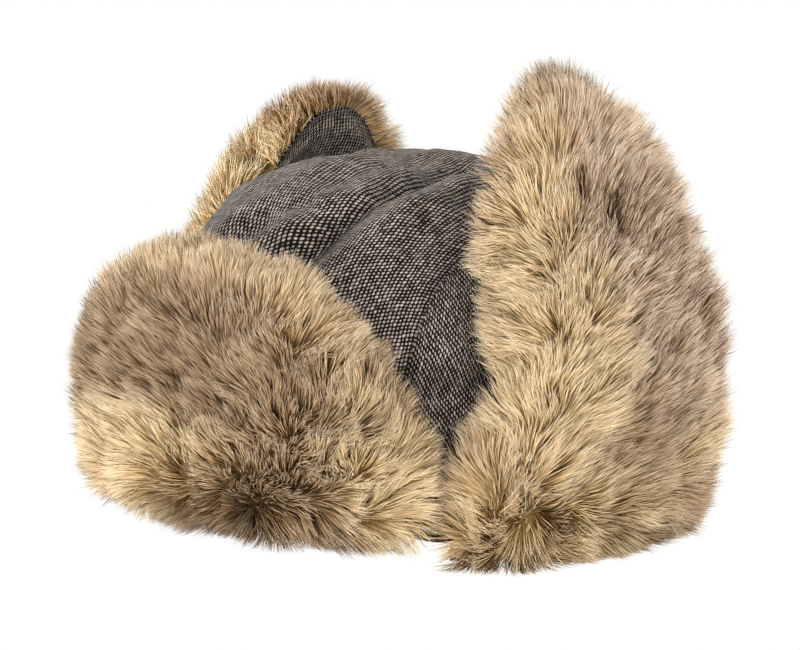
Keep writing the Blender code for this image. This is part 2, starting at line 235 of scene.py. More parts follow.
def slab(name, outer, inner, uv=None, rim=None):
    """A closed sheet between two grids. rim is how far its edge bulges out, as a share of the sheet's thickness, for a
    rounded edge.
    """
    rows, columns = outer.shape[:2]
    half = rows * columns
    ring = ring_of(rows, columns)
    co = [outer.reshape(-1, 3), inner.reshape(-1, 3)]
    faces = [grid_faces(rows, columns), grid_faces(rows, columns, half, True)]
    following = np.roll(ring, -1)
    # the edge bulges a little, so that it looks rounded
    o, i = outer.reshape(-1, 3)[ring], inner.reshape(-1, 3)[ring]
    if rim is None:
        rim = 0.5
    along = unit(np.roll(o, -1, 0) - np.roll(o, 1, 0))
    side = unit(np.cross(along, o - i))
    thick = np.linalg.norm(o - i, axis=1, keepdims=True)
    centre = outer.reshape(-1, 3).mean(0)
    if np.mean(np.sum(side * (o - centre), axis=1)) < 0:
        side = -side
    middle = (o + i) / 2 + side * thick * rim
    co.append(middle)
    m = 2 * half + np.arange(len(ring))
    m2 = np.roll(m, -1)
    faces.append(np.stack([following, ring, m, m2], axis=1))
    faces.append(np.stack([m2, m, ring + half, following + half], axis=1))
    co, faces = np.concatenate(co), np.concatenate(faces)
    obj = mesh_of(name, co, faces)
    import bmesh

    bm = bmesh.new()
    bm.from_mesh(obj.data)
    bmesh.ops.recalc_face_normals(bm, faces=bm.faces)
    bm.to_mesh(obj.data)
    bm.free()
    if uv is not None:
        flat = uv.reshape(-1, 2)
        all_uv = np.concatenate([flat, flat, flat[ring]])
        layer = obj.data.uv_layers.new(name="cloth")
        index = np.zeros(len(obj.data.loops), np.int32)
        obj.data.loops.foreach_get("vertex_index", index)
        layer.data.foreach_set("uv", all_uv[index].astype(np.float32).ravel())
    return obj


def cloth_area(g):
    a, b, c, d = g[:-1, :-1], g[:-1, 1:], g[1:, 1:], g[1:, :-1]
    return float((np.linalg.norm(np.cross(b - a, c - a), axis=-1) + np.linalg.norm(np.cross(c - a, d - a), axis=-1)).sum() / 2)


def cut(obj, grid):
    """Works out the size of the flat piece a sheet was cut from, its greatest lengths with its own outline's area, and
    prints it.
    """
    across = float(np.linalg.norm(np.diff(grid, axis=1), axis=-1).sum(axis=1).max())
    along = float(np.linalg.norm(np.diff(grid, axis=0), axis=-1).sum(axis=0).max())
    area = cloth_area(grid)
    across, along = max(across, 0.0102), max(along, 0.0102)
    if area > across * along * 0.999:
        along = area / across * 1.01
    print("CUT", obj.name, round(across, 4), round(along, 4), round(area, 5))


def paint_shade_on_cloth(obj, value):
    """Stores painted shade on a cloth: a factor for each point, in its fold attribute, that darkens its colour, as 1
    where no shade is painted.
    """
    full = np.ones(len(obj.data.vertices))
    flat = value.ravel()
    full[: len(flat)] = flat
    full[len(flat) : 2 * len(flat)] = flat
    layer = obj.data.attributes.new("fold", "FLOAT", "POINT")
    layer.data.foreach_set("value", full.astype(np.float32))


def arc_uv(grid):
    """Flat cloth coordinates of a grid in metres: lengths along its rows and its columns."""
    across = np.zeros(grid.shape[:2])
    across[:, 1:] = np.cumsum(np.linalg.norm(np.diff(grid, axis=1), axis=-1), axis=1)
    across -= across[:, across.shape[1] // 2][:, None]
    along = np.zeros(grid.shape[:2])
    along[1:] = np.cumsum(np.linalg.norm(np.diff(grid, axis=0), axis=-1), axis=0)
    along -= along[along.shape[0] // 2][None]
    return np.stack([across, along], axis=-1)


# ---------------------------------------------------------------- materials
def srgb(r, g, b):
    c = np.array([r, g, b]) / 255.0
    return tuple(np.where(c <= 0.04045, c / 12.92, ((c + 0.055) / 1.055) ** 2.4))


class Nodes:
    def __init__(self, name):
        self.mat = bpy.data.materials.new(name)
        self.mat.use_nodes = True
        self.tree = self.mat.node_tree
        self.shader = self.tree.nodes["Principled BSDF"]

    def add(self, kind, **values):
        node = self.tree.nodes.new(kind)
        for key, value in values.items():
            setattr(node, key, value)
        return node

    def link(self, a, b):
        self.tree.links.new(a, b)

    def math(self, operation, a, b=None, c=None, clamp=False):
        node = self.add("ShaderNodeMath", operation=operation, use_clamp=clamp)
        for k, value in enumerate((a, b, c)):
            if value is None:
                continue
            if isinstance(value, (int, float)):
                node.inputs[k].default_value = value
            else:
                self.link(value, node.inputs[k])
        return node.outputs[0]

    def mix(self, factor, a, b, mode="MIX"):
        node = self.add("ShaderNodeMix", data_type="RGBA", blend_type=mode)
        for socket, value in ((node.inputs[0], factor), (node.inputs[6], a), (node.inputs[7], b)):
            if isinstance(value, (int, float)):
                socket.default_value = value
            elif isinstance(value, tuple):
                socket.default_value = (*value[:3], 1.0)
            else:
                self.link(value, socket)
        return node.outputs[2]

    def noise(self, scale, detail=3.0, vector=None, roughness=0.6):
        node = self.add("ShaderNodeTexNoise")
        node.inputs["Scale"].default_value = scale
        node.inputs["Detail"].default_value = detail
        node.inputs["Roughness"].default_value = roughness
        if vector is not None:
            self.link(vector, node.inputs["Vector"])
        return node

    def ramp(self, value, low, high):
        node = self.add("ShaderNodeMapRange", interpolation_type="SMOOTHSTEP", clamp=True)
        self.link(value, node.inputs["Value"])
        node.inputs["From Min"].default_value = low
        node.inputs["From Max"].default_value = high
        return node.outputs["Result"]


def tweed_material(name, across=0.00225, along=0.00112, turned=0.0, dark=1.0):
    """Salt-and-pepper basket weave: pale dashes on a near-black ground, staggered row by row, with a few coloured flecks."""
    m = Nodes(name)
    at = m.add("ShaderNodeUVMap", uv_map="cloth").outputs[0]
    # yarns wander a little
    wander = m.noise(140.0, 2.0, at)
    shift = m.add("ShaderNodeVectorMath", operation="SUBTRACT")
    m.link(wander.outputs["Color"], shift.inputs[0])
    shift.inputs[1].default_value = (0.5, 0.5, 0.5)
    small = m.add("ShaderNodeVectorMath", operation="SCALE")
    m.link(shift.outputs[0], small.inputs[0])
    small.inputs["Scale"].default_value = 0.0013
    moved = m.add("ShaderNodeVectorMath", operation="ADD")
    m.link(at, moved.inputs[0])
    m.link(small.outputs[0], moved.inputs[1])
    parts = m.add("ShaderNodeSeparateXYZ")
    m.link(moved.outputs[0], parts.inputs[0])
    x, y = parts.outputs[0], parts.outputs[1]
    # the weave runs at an angle to the piece's own edges
    c, k = math.cos(turned), math.sin(turned)
    x, y = (
        m.math("ADD", m.math("MULTIPLY", x, c), m.math("MULTIPLY", y, k)),
        m.math("ADD", m.math("MULTIPLY", x, -k), m.math("MULTIPLY", y, c)),
    )
    row = m.math("DIVIDE", y, along)
    row_id = m.math("FLOOR", row)
    odd = m.math("FLOORED_MODULO", row_id, 2.0)
    column = m.math("ADD", m.math("DIVIDE", x, across), m.math("MULTIPLY", odd, 0.5))
    column_id = m.math("FLOOR", column)
    cell = m.add("ShaderNodeCombineXYZ")
    m.link(column_id, cell.inputs[0])
    m.link(row_id, cell.inputs[1])
    chance = m.add("ShaderNodeTexWhiteNoise", noise_dimensions="2D")
    m.link(cell.outputs[0], chance.inputs["Vector"])
    rnd = m.add("ShaderNodeSeparateColor")
    m.link(chance.outputs["Color"], rnd.inputs[0])
    lx = m.math("DIVIDE", m.math("SUBTRACT", m.math("FRACT", column), 0.5), 0.44)
    ly = m.math("DIVIDE", m.math("SUBTRACT", m.math("FRACT", row), 0.5), 0.385)
    lx = m.math("MULTIPLY", lx, 0.96)
    ly = m.math("SUBTRACT", ly, m.math("MULTIPLY", lx, 0.52))
    far = m.math("SQRT", m.math("ADD", m.math("MULTIPLY", lx, lx), m.math("MULTIPLY", ly, ly)))
    size = m.math("ADD", m.math("MULTIPLY", rnd.outputs[0], 0.46), 0.58)
    dash = m.ramp(m.math("DIVIDE", far, size), 1.12, 0.62)
    # fine yarn fuzz
    fuzz = m.noise(2600.0, 2.0, at)
    big = m.noise(38.0, 3.0, at)
    tone = m.math("ADD", 0.62, m.math("MULTIPLY", rnd.outputs[1], 0.42))
    tone = m.math("MULTIPLY", tone, m.math("ADD", 0.72, m.math("MULTIPLY", fuzz.outputs["Fac"], 0.56)))
    tone = m.math("MULTIPLY", tone, m.math("ADD", 0.80, m.math("MULTIPLY", big.outputs["Fac"], 0.40)))
    pale = m.mix(1.0, srgb(175 * dark, 162 * dark, 151 * dark), m.add("ShaderNodeCombineColor").outputs[0], "MULTIPLY")
    combine = [n for n in m.tree.nodes if n.bl_idname == "ShaderNodeCombineColor"][-1]
    for k in range(3):
        m.link(tone, combine.inputs[k])
    ground = m.mix(fuzz.outputs["Fac"], srgb(8, 5, 4), srgb(26, 19, 16))
    # a few yarns carry a coloured slub
    fleck = m.add("ShaderNodeValToRGB")
    fleck.color_ramp.interpolation = "CONSTANT"
    stops = [(0.0, (104, 20, 24)), (0.30, (16, 62, 44)), (0.48, (150, 116, 36)), (0.66, (26, 36, 76)), (0.80, (96, 34, 24))]
    while len(fleck.color_ramp.elements) < len(stops):
        fleck.color_ramp.elements.new(0.5)
    for element, (place, colour) in zip(fleck.color_ramp.elements, stops):
        element.position = place
        element.color = (*srgb(*colour), 1.0)
    m.link(rnd.outputs[0], fleck.inputs[0])
    is_fleck = m.math("MULTIPLY", m.math("GREATER_THAN", rnd.outputs[2], 0.991), m.ramp(far, 0.9, 0.3))
    pale = m.mix(is_fleck, pale, fleck.outputs[0])
    colour = m.mix(dash, ground, pale)
    # painted shade: the fold attribute multiplies the weave's colour, darker in creases, seam dips and tucked edges
    fold = m.add("ShaderNodeAttribute", attribute_name="fold")
    depth = m.add("ShaderNodeCombineColor")
    for k in range(3):
        m.link(fold.outputs["Fac"], depth.inputs[k])
    colour = m.mix(1.0, colour, depth.outputs[0], "MULTIPLY")
    m.link(colour, m.shader.inputs["Base Color"])
    height = m.math("ADD", m.math("MULTIPLY", dash, 0.8), m.math("MULTIPLY", fuzz.outputs["Fac"], 0.35))
    bump = m.add("ShaderNodeBump")
    bump.inputs["Strength"].default_value = 0.55
    bump.inputs["Distance"].default_value = 0.00045
    m.link(height, bump.inputs["Height"])
    m.link(bump.outputs[0], m.shader.inputs["Normal"])
    m.shader.inputs["Roughness"].default_value = 0.93
    m.shader.inputs["Specular IOR Level"].default_value = 0.08
    m.shader.inputs["Sheen Weight"].default_value = 0.04
    m.shader.inputs["Sheen Roughness"].default_value = 0.6
    return m.mat


def pile_material(name, rough=0.62):
    """Hair: the root to tip colour, with painted shade at the roots, is on the mesh, and fine streaks are added here.
    """
    m = Nodes(name)
    pile = m.add("ShaderNodeAttribute", attribute_name="pile")
    at = m.add("ShaderNodeTexCoord")
    streak = m.noise(900.0, 2.0, at.outputs["Object"])
    wide = m.noise(120.0, 2.0, at.outputs["Object"])
    tone = m.math("ADD", 0.86, m.math("MULTIPLY", streak.outputs["Fac"], 0.28))
    tone = m.math("MULTIPLY", tone, m.math("ADD", 0.92, m.math("MULTIPLY", wide.outputs["Fac"], 0.16)))
    grey = m.add("ShaderNodeCombineColor")
    for k in range(3):
        m.link(tone, grey.inputs[k])
    m.link(m.mix(1.0, pile.outputs["Color"], grey.outputs[0], "MULTIPLY"), m.shader.inputs["Base Color"])
    m.shader.inputs["Roughness"].default_value = rough
    m.shader.inputs["Specular IOR Level"].default_value = 0.30
    m.shader.inputs["Sheen Weight"].default_value = 0.22
    m.shader.inputs["Sheen Roughness"].default_value = 0.45
    m.shader.inputs["Sheen Tint"].default_value = (*srgb(232, 214, 186), 1.0)
    return m.mat


def cloth_material(name, colour, other, scale=900.0, rough=0.8, sheen=0.1, depth=0.0002, quilt=None):
    m = Nodes(name)
    at = m.add("ShaderNodeTexCoord").outputs["Object"]
    grain = m.noise(scale, 3.0, at)
    broad = m.noise(30.0, 3.0, at)
    tint = m.mix(grain.outputs["Fac"], colour, other)
    shade = m.math("ADD", 0.8, m.math("MULTIPLY", broad.outputs["Fac"], 0.4))
    grey = m.add("ShaderNodeCombineColor")
    for k in range(3):
        m.link(shade, grey.inputs[k])
    m.link(m.mix(1.0, tint, grey.outputs[0], "MULTIPLY"), m.shader.inputs["Base Color"])
    bump = m.add("ShaderNodeBump")
    bump.inputs["Strength"].default_value = 0.4
    bump.inputs["Distance"].default_value = depth
    m.link(grain.outputs["Fac"], bump.inputs["Height"])
    m.link(bump.outputs[0], m.shader.inputs["Normal"])
    m.shader.inputs["Roughness"].default_value = rough
    m.shader.inputs["Sheen Weight"].default_value = sheen
    return m.mat


def metal_material(name, colour, rough=0.32):
    m = Nodes(name)
    at = m.add("ShaderNodeTexCoord").outputs["Object"]
    wear = m.noise(420.0, 4.0, at)
    m.link(m.mix(wear.outputs["Fac"], colour, tuple(c * 0.6 for c in colour)), m.shader.inputs["Base Color"])
    m.link(m.ramp(wear.outputs["Fac"], 0.2, 0.9), m.add("ShaderNodeMath").inputs[0])
    m.shader.inputs["Metallic"].default_value = 1.0
    m.shader.inputs["Roughness"].default_value = rough
    bump = m.add("ShaderNodeBump")
    bump.inputs["Strength"].default_value = 0.1
    bump.inputs["Distance"].default_value = 0.0001
    m.link(wear.outputs["Fac"], bump.inputs["Height"])
    m.link(bump.outputs[0], m.shader.inputs["Normal"])
    return m.mat


def use(obj, mat):
    obj.data.materials.clear()
    obj.data.materials.append(mat)


# ---------------------------------------------------------------- crown
CREASES = [
    # points along the fold, how deep, how wide
    ([(0.2, -11.0, 8.4), (1.2, -9.4, 11.1), (1.9, -7.6, 12.9), (2.3, -5.5, 14.0), (2.4, -3.4, 14.5), (1.9, -0.5, 14.7), (1.0, 2.6, 14.7)], 9.5, 0.85),
    ([(-2.8, -10.6, 8.8), (-2.5, -9.0, 11.1), (-1.2, -8.0, 12.4), (0.06, -7.0, 13.3), (0.56, -4.6, 14.3), (0.4, -1.6, 14.7), (-0.8, 1.8, 14.7)], 6.0, 0.75),
    ([(5.6, -8.6, 5.6), (7.0, -6.9, 6.6), (7.9, -4.8, 7.0), (8.6, -2.0, 6.8), (8.8, 1.5, 6.0)], 5.5, 0.8),
    ([(3.4, 3.4, 14.5), (0.6, 4.4, 14.5), (-2.6, 4.0, 14.5)], 4.5, 1.0),
    ([(2.0, 9.6, 11.0), (-0.5, 8.4, 12.6), (-3.6, 7.6, 12.2)], 4.0, 1.1),
    ([(-7.8, -2.4, 10.0), (-6.6, 0.4, 12.4), (-5.2, 2.8, 13.2)], 3.0, 1.0),
    ([(-3.0, -10.8, 6.0), (-1.8, -10.4, 8.8), (-1.2, -9.6, 10.6)], 2.6, 0.8),
]


def from_line(p, line):
    """Distance to a polyline, and how near its ends that is, as 0 at an end and 1 inside."""
    line = np.array(line) / 100.0
    best, place = np.full(p.shape[:-1], 9.0), np.zeros(p.shape[:-1])
    count = len(line) - 1
    for k in range(count):
        a, b = line[k], line[k + 1]
        d = b - a
        t = np.clip(((p - a) @ d) / (d @ d), 0, 1)
        far = np.linalg.norm(p - a - t[..., None] * d, axis=-1)
        nearer = far < best
        best = np.where(nearer, far, best)
        place = np.where(nearer, (k + t) / count, place)
    return best, smooth(place / 0.22) * smooth((1 - place) / 0.22)


def slump(p):
    """How far the soft crown stands out from or sinks below its plain shape, in metres."""
    high = smooth((p[..., 2] - 0.020) / 0.045)
    d = 0.0022 * waves(p, 0.075, 5) + 0.0007 * waves(p, 0.026, 6)
    for line, deep, wide in CREASES:
        far, inside = from_line(p, line)
        w = wide / 100.0
        d -= deep / 1000.0 * inside * (0.62 * np.exp(-((far / w) ** 2)) + 0.38 * np.exp(-far / (0.45 * w)))
        d += 0.42 * deep / 1000.0 * inside * np.exp(-(((far - 2.1 * w) / (1.1 * w)) ** 2))
    # the shoulder behind the front flap stands out, and the wall tucks in over the rim
    lump = np.exp(-(np.linalg.norm(p - np.array([-0.056, -0.060, 0.112]), axis=-1) / 0.046) ** 2)
    d += 0.0105 * lump
    lump = np.exp(-(np.linalg.norm(p - np.array([0.022, 0.078, 0.122]), axis=-1) / 0.030) ** 2)
    d += 0.0085 * lump
    lump = np.exp(-(np.linalg.norm(p - np.array([0.060, -0.060, 0.085]), axis=-1) / 0.034) ** 2)
    d += 0.0035 * lump
    d -= 0.0032 * smooth((0.062 - p[..., 2]) / 0.045) * smooth((p[..., 2] - 0.010) / 0.014)
    # keep clear of the inside of the flaps
    return np.clip(d * high, -0.0125, 0.0105)


# Painted shade: the tweed is darkened by up to 0.42 where the crown's cloth sinks in, deepest in its creases, and by
# 0.30 along the dips at its seams.
def painted_fold_shade(p):
    return 1 - 0.42 * smooth(-slump(p) / 0.0095) - 0.30 * np.exp(-(((np.abs(p[..., 0]) - SEAM_X) / 0.0022) ** 2))


def seam_pinch(p):
    """The cloth dips to its seams."""
    off = np.abs(np.abs(p[..., 0]) - SEAM_X)
    return -0.0011 * np.exp(-((off / 0.0030) ** 2)) + 0.0004 * np.exp(-(((off - 0.007) / 0.004) ** 2))


def crown_layer(p, depth, follow=1.0, pinch=True):
    n = dome_gradient(p)
    d = slump(p) * follow - depth
    if pinch:
        d = d + seam_pinch(p)
    return p + n * d[..., None] + SHIFT


def centre_grid(rows=150, columns=96):
    s = np.linspace(0, 1, rows)
    edge = SEAM_X - SEAM_GAP
    turn = np.pi / 2 - np.arccos(edge / CROWN_A)
    r = np.linspace(-1, 1, columns)
    left = seam_line(s, edge)
    # even steps along the seam
    run = np.concatenate([[0], np.cumsum(np.linalg.norm(np.diff(left, axis=0), axis=1))])
    s = np.interp(np.linspace(0, run[-1], rows), run, s)
    left = seam_line(s, edge)
    right = left * np.array([-1, 1, 1])
    front, back = rim_point(-np.pi / 2 + r * turn), rim_point(np.pi / 2 - r * turn)
    w, t = ((r + 1) / 2)[None, :, None], np.linspace(0, 1, rows)[:, None, None]
    side = right[:, None] * (1 - w) + left[:, None] * w
    ends = front[None] * (1 - t) + back[None] * t
    corner = (1 - t) * (1 - w) * front[0] + (1 - t) * w * front[-1] + t * (1 - w) * back[0] + t * w * back[-1]
    return on_dome(side + ends - corner)


def side_grid(sign, rows=120, columns=60):
    s = 0.5 - 0.5 * np.cos(np.pi * np.linspace(0.004, 0.996, rows))
    edge = SEAM_X + SEAM_GAP
    turn = np.arccos(edge / CROWN_A)
    top, low = seam_line(s, edge), rim_point(-turn + 2 * turn * s)
    w = np.linspace(0, 1, columns)[None, :, None]
    return on_dome(low[:, None] * (1 - w) + top[:, None] * w) * np.array([sign, 1, 1])


def wall_uv(grid, sign):
    """Cloth coordinates in metres for a side: along the rim, and up the wall."""
    theta = np.arctan2(grid[..., 1] / CROWN_B, grid[..., 0] * sign / CROWN_A)
    z = np.linspace(0, TALL * 0.999, 400)
    r = CROWN_A * (1 - (z / TALL) ** POWER) ** (1 / POWER)
    rise = np.concatenate([[0], np.cumsum(np.hypot(np.diff(z), np.diff(r)))])
    return np.stack([np.interp(theta, TURNS, ARC), np.interp(grid[..., 2] - CROWN_BASE, z, rise)], axis=-1)


def full_grid(around=120, up=60):
    theta = np.linspace(0, 2 * np.pi, around)
    rim = rim_point(theta)
    v = np.linspace(0, np.pi / 2 * 0.985, up)[None, :, None]
    grid = (rim * np.array([1, 1, 0]))[:, None] * np.cos(v) + np.array([0, 0, 1.0]) * (
        rim[:, None, 2:3] + (CROWN_TOP - rim[:, None, 2:3]) * np.sin(v)
    )
    grid = on_dome(grid)
    grid[:, 0] = rim
    return grid


def closed_dome(name, outer, inner):
    """A closed shell from two grids that run all the way round, with their last column at the top."""
    around, up = outer.shape[:2]
    around -= 1
    o, i = outer[:-1], inner[:-1]
    half = around * up
    co = np.concatenate([o.reshape(-1, 3), i.reshape(-1, 3), [o[:, -1].mean(0)], [i[:, -1].mean(0)]])
    a, b = np.meshgrid(np.arange(around), np.arange(up - 1), indexing="ij")
    k = (a + 1) % around
    f = np.stack([a * up + b, k * up + b, k * up + b + 1, a * up + b + 1], axis=-1).reshape(-1, 4)
    faces = [tuple(x) for x in f] + [tuple(x[::-1] + half) for x in f]
    for m in range(around):
        n = (m + 1) % around
        faces.append((m * up + up - 1, n * up + up - 1, 2 * half))
        faces.append((half + n * up + up - 1, half + m * up + up - 1, 2 * half + 1))
        faces.append((n * up, m * up, half + m * up, half + n * up))
    return mesh_of(name, co, faces)


def rim_band(name, theta, section, closed=True):
    """A band that follows the rim. section gives (depth, height) pairs of its closed outline."""
    rim = rim_point(theta)
    rings = []
    for depth, up in section:
        p = rim + np.array([0, 0, up])
        if up > 0.004:
            p[:, :2] = on_dome(p)[:, :2]
        n = dome_gradient(p) * np.array([1, 1, 0])
        rings.append(p - unit(n) * depth + SHIFT)
    count, around = len(section), len(theta)
    co = np.stack(rings, axis=1).reshape(-1, 3)
    faces = []
    for i in range(around if closed else around - 1):
        k = (i + 1) % around
        for j in range(count):
            m = (j + 1) % count
            faces.append((count * i + j, count * k + j, count * k + m, count * i + m))
    return mesh_of(name, co, faces)


tweed_centre = tweed_material("crown_centre_tweed_weave", turned=0.85)
tweed_side = tweed_material("crown_side_tweed_weave", turned=1.35)
tweed_flap = tweed_material("flap_tweed_weave", turned=0.80)

grid = centre_grid()
top = crown_layer(grid, 0.0)
crown_centre = slab("crown_centre_cloth", top, crown_layer(grid, TWEED), arc_uv(grid))
use(crown_centre, tweed_centre)
# painted shade in the centre panel's creases and seam dips
paint_shade_on_cloth(crown_centre, painted_fold_shade(grid))
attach(crown_centre, "crown")
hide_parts("crown_centre_panel")
cut(crown_centre, top)

for side, sign in (("left", 1), ("right", -1)):
    grid = side_grid(sign)
    top = crown_layer(grid, 0.0)
    panel = slab(f"crown_{side}_cloth", top, crown_layer(grid, TWEED), wall_uv(grid, sign))
    # painted shade in each side panel's creases and seam dips
    paint_shade_on_cloth(panel, painted_fold_shade(grid))
    use(panel, tweed_side if side == "left" else tweed_material("crown_right_tweed_weave", turned=1.35))
    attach(panel, "crown")
    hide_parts(f"crown_{side}_panel")
    cut(panel, top)
    # tape over the seam allowances, inside
    s = np.linspace(0.03, 0.97, 90)
    strip = on_dome(np.stack([seam_line(s, SEAM_X + k * 0.0045) for k in (-1, -0.5, 0, 0.5, 1)], axis=1)) * np.array([sign, 1, 1])
    tape = slab(f"{side}_seam_tape_cloth", crown_layer(strip, 0.0018), crown_layer(strip, 0.0023))
    use(tape, cloth_material(f"{side}_tape_twill", srgb(38, 32, 30), srgb(62, 54, 50), 1500))
    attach(tape, "crown")
    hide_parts(f"{side}_seam_tape")
    cut(tape, crown_layer(strip, 0.0018))

dome = full_grid()
wadding = closed_dome("crown_wadding_pad", crown_layer(dome, 0.0030, 1.0, False), crown_layer(dome, 0.0092, 0.35, False))
use(wadding, cloth_material("crown_wadding_felt", srgb(222, 218, 208), srgb(196, 190, 178), 500, 1.0, 0.0, 0.0006))
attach(wadding, "crown")
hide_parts("crown_padding")

# The lining is quilted: it puffs between crossing lines of stitches
theta = np.arctan2(dome[..., 1] / CROWN_B, dome[..., 0] / CROWN_A)
ring_up = np.arccos(np.clip((dome[..., 2] - CROWN_BASE) / TALL, 0, 1))
lean_a = np.abs(np.sin((theta * 7 + ring_up * 9)))
lean_b = np.abs(np.sin((theta * 7 - ring_up * 9)))
fade = np.clip((CROWN_TOP - dome[..., 2]) / 0.03, 0, 1)
puff = 0.0012 * np.minimum(lean_a, lean_b) ** 0.5 * fade
normal = dome_gradient(dome)
lining = closed_dome(
    "crown_satin_lining",
    crown_layer(dome, 0.0096, 0.35, False),
    crown_layer(dome, 0.0104, 0.35, False) - normal * puff[..., None],
)
satin = cloth_material("crown_satin_weave", srgb(62, 44, 36), srgb(84, 62, 50), 1800, 0.38, 0.05, 0.0001)
use(lining, satin)
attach(lining, "crown")
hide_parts("crown_lining")
cut(lining, crown_layer(dome, 0.0104, 0.35, False))

theta = np.linspace(0, 2 * np.pi, 160, endpoint=False)
band = rim_band("sweatband_cloth", theta, [(0.0125, 0.0008), (0.0124, 0.033), (0.0130, 0.0345), (0.0141, 0.033), (0.0145, 0.018), (0.0141, 0.002)])
use(band, cloth_material("sweatband_twill", srgb(48, 42, 40), srgb(72, 64, 60), 1400, 0.8))
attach(band, "crown")
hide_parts("sweatband")

binding = rim_band(
    "rim_binding_fold",
    theta,
    [(0.0006, -0.0010), (0.0, -0.0022), (0.0006, -0.0036), (0.0058, -0.0038), (0.0108, -0.0036), (0.0116, -0.0022), (0.0110, -0.0010), (0.0058, -0.0008)],
)
use(binding, cloth_material("rim_binding_weave", srgb(40, 33, 30), srgb(64, 54, 48), 1600, 0.85))
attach(binding, "crown")
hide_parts("rim_binding")

lo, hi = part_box("size_tab")
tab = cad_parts["size_tab"]
u, v = np.meshgrid(np.linspace(-0.011, 0.011, 24), np.linspace(0.016, 0.031, 16))
bow = CROWN_B - CROWN_B * np.sqrt(1 - (u / CROWN_A) ** 2)
face = np.stack([u, hi[1] - 0.0002 - bow * 1.1 - 0.0004 * np.cos((v - 0.016) / 0.015 * np.pi), v], axis=-1)
label = slab("size_tab_weave", face, face - np.array([0, 0.0005, 0]))
use(label, cloth_material("size_tab_satin", srgb(206, 202, 194), srgb(184, 178, 168), 2000, 0.6))
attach(label, "crown")
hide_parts("size_tab")

for node in ("front_snap_stud", "front_snap_socket", "ear_snap_stud", "ear_snap_socket"):
    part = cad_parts[node]
    part.data.materials.clear()
    part.data.materials.append(metal_material(f"{node}_nickel", srgb(168, 163, 152)))


# ---------------------------------------------------------------- flaps
def round_shape(u, v, pu=3.0, pv=3.4, low=0.55):
    pv = np.where(v < 0.5, pv * 1.7, pv)
    full = (1 - np.abs(u) ** pu) ** 0.5 * (1 - np.abs(2 * v - 1) ** pv) ** 0.5
    return full


def dense(count, power=1.6):
    """Steps from -1 to 1 that are closer together near the ends."""
    t = np.linspace(-1, 1, count)
    return np.sign(t) * (1 - (1 - np.abs(t)) ** power)


INSETS = {"front": 0.0085, "left": 0.0045, "right": 0.0080, "neck": 0.0070}


def pad_grid(kind, count_u=64, count_v=72, back=0.0068, thick=0.0215):
    """The body of the pile: a pillow on the flap's outer face."""
    inset = INSETS[kind]
    u, v = np.meshgrid(dense(count_u), (dense(count_v) + 1) / 2)
    u = u * (1 - 0.12 * np.abs(u) ** 5 * np.abs(2 * v - 1) ** 5)
    if kind == "neck":
        thick = thick * 0.72
    shape = round_shape(u, v)
    if kind == "front":
        v = 0.045 + (0.925 + 0.045 * smooth(u / 0.9)) * v
        u = u + 0.065 * smooth(u)
    if kind == "left":
        u = u - 0.10 * smooth(-u) * (1 - smooth((v - 0.10) / 0.25))
        u = u + 0.16 * smooth(-u) * smooth((v - 0.18) / 0.3) * smooth((0.98 - v) / 0.3)
    rear = flap_point(kind, u, v, np.full(u.shape, GAP[kind] + back), inset)
    lumps = 0.0016 * waves(rear, 0.030, 21) + 0.0008 * waves(rear, 0.011, 22)
    front = flap_point(kind, u, v, GAP[kind] + back + 0.0015 + thick * shape + lumps * shape, inset)
    return u, v, front, rear


def lerp(a, b, t):
    return a * (1 - t) + b * t


def spot(u, v, cu, cv, ru, rv, soft=0.5):
    """1 inside an ellipse, falling to 0 outside it."""
    d = np.sqrt(((u - cu) / ru) ** 2 + ((v - cv) / rv) ** 2)
    return 1 - smooth((d - (1 - soft)) / (2 * soft))


LIN = lambda *c: np.array(srgb(*c))
CREAM = (LIN(172, 136, 80), LIN(212, 180, 128), LIN(236, 216, 182))
TAN = (LIN(112, 76, 34), LIN(160, 122, 72), LIN(216, 194, 166))
BROWN = (LIN(70, 42, 12), LIN(110, 74, 32), LIN(178, 148, 114))
LILAC = (LIN(122, 88, 48), LIN(176, 144, 104), LIN(228, 208, 188))


